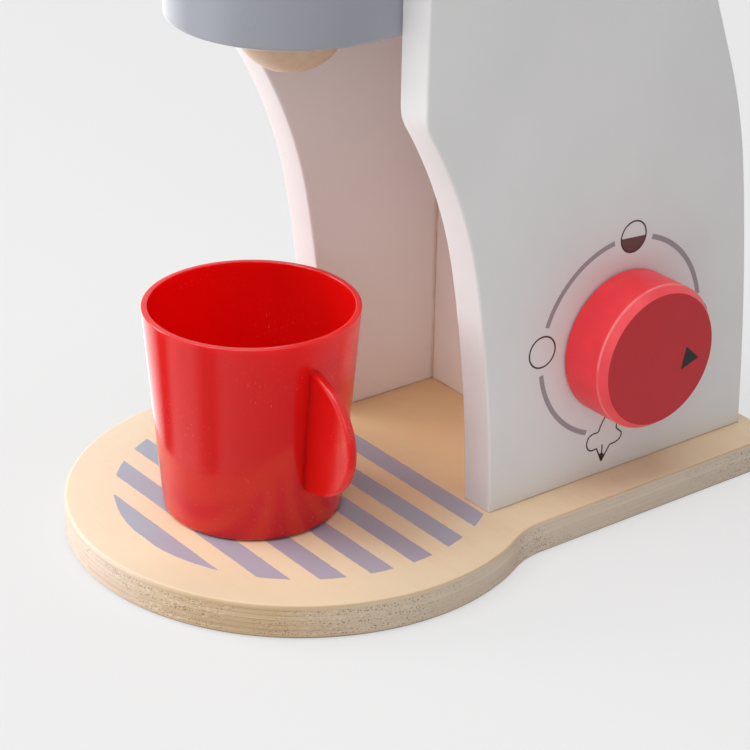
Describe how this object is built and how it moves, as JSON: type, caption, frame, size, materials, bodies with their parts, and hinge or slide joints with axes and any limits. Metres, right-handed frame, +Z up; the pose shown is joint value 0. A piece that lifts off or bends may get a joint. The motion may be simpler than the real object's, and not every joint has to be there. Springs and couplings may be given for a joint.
{
  "type": "toy coffee maker",
  "caption": "Toy coffee maker: round-front striped plywood base, two curved side panels, drum head with hinged lid and wooden nozzle, turning side knob with dial, and a mug.",
  "frame": {"origin": "on the ground under the centre of the base's round front", "axes": "+Z up, -Y to the front where the mug stands, +X to the side with the knob"},
  "size_m": [0.13, 0.196, 0.2232],
  "materials": {
    "plywood": "clear satin lacquer, printed grey stripes",
    "white_board": "satin white paint",
    "printed_board": "satin white paint with a printed dial",
    "grey_board": "satin blue-grey paint",
    "turned_wood": "clear satin lacquer",
    "dowel_wood": "raw",
    "red_wood": "satin red paint",
    "red_plastic": "glossy",
    "steel": "zinc plated",
    "nylon": "matte",
    "felt": "pressed felt"
  },
  "bodies": {
    "maker": {"base_board": "plywood", "base_screws": "steel", "side_panel_left": "white_board", "side_panel_right": "printed_board", "back_wall": "white_board", "wall_dowels": "dowel_wood", "rear_cover": "white_board", "brew_head": "grey_board", "head_dowels": "dowel_wood", "nozzle": "turned_wood", "nozzle_dowel": "dowel_wood", "hinge_pin": "steel", "knob_felt": "felt"},
    "lid": {"lid": "grey_board", "lid_knob": "red_wood", "lid_knob_screw": "steel"},
    "knob": {"knob": "red_wood", "knob_sleeve": "nylon", "knob_screw": "steel", "knob_washer": "steel"},
    "mug": {"mug": "red_plastic"}
  },
  "joints": [
    {"name": "lid_swing", "type": "hinge", "parent": "maker", "child": "lid", "pos_m": [0, 0.05, 0.1968], "axis": [-1, 0, 0], "range_deg": [0, 95]},
    {"name": "knob_turn", "type": "hinge", "parent": "maker", "child": "knob", "pos_m": [0.043, 0.0768, 0.0499], "axis": [1, 0, 0], "continuous": true},
    {"name": "mug_out", "type": "slide", "parent": "maker", "child": "mug", "axis": [0, -1, 0], "range_m": [0, 0.1]}
  ]
}
